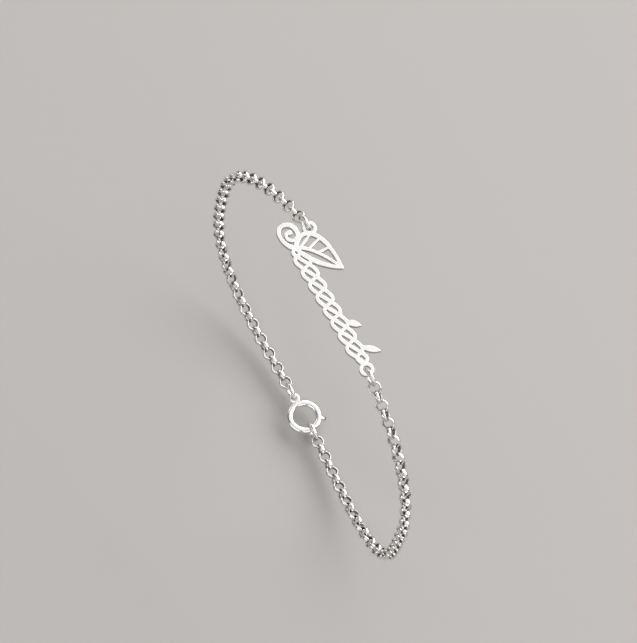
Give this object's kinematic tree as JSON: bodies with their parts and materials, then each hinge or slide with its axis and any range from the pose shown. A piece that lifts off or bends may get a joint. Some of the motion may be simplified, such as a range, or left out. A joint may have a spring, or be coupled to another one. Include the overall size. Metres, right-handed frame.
{
  "type": "nameplate bracelet",
  "caption": "Silver bracelet in its worn form: a flat pierced plate of leaf, scroll and plaited band, hung between runs of fine belcher chain and closed by a small round clasp.",
  "frame": {"origin": "the middle of the wrist that the bracelet goes round, halfway between the sides of the loop", "axes": "+Z out of the back of the wrist, through the face of the plate; +Y along the arm towards the hand; +X along the plate towards its plain end. The loop lies in the XZ plane"},
  "size_m": [0.0605, 0.0064, 0.05],
  "materials": {
    "plate_silver": "polished silver, flat faces with sawn edges",
    "ring_silver": "polished silver wire",
    "chain_silver": "polished silver",
    "clasp_silver": "polished silver"
  },
  "bodies": {
    "root": {"nameplate": "plate_silver", "jump_ring_left": "ring_silver", "jump_ring_right": "ring_silver", "chain_left": "chain_silver", "chain_right": "chain_silver", "clasp": "clasp_silver", "clasp_ring": "ring_silver", "end_ring": "ring_silver"}
  },
  "joints": []
}
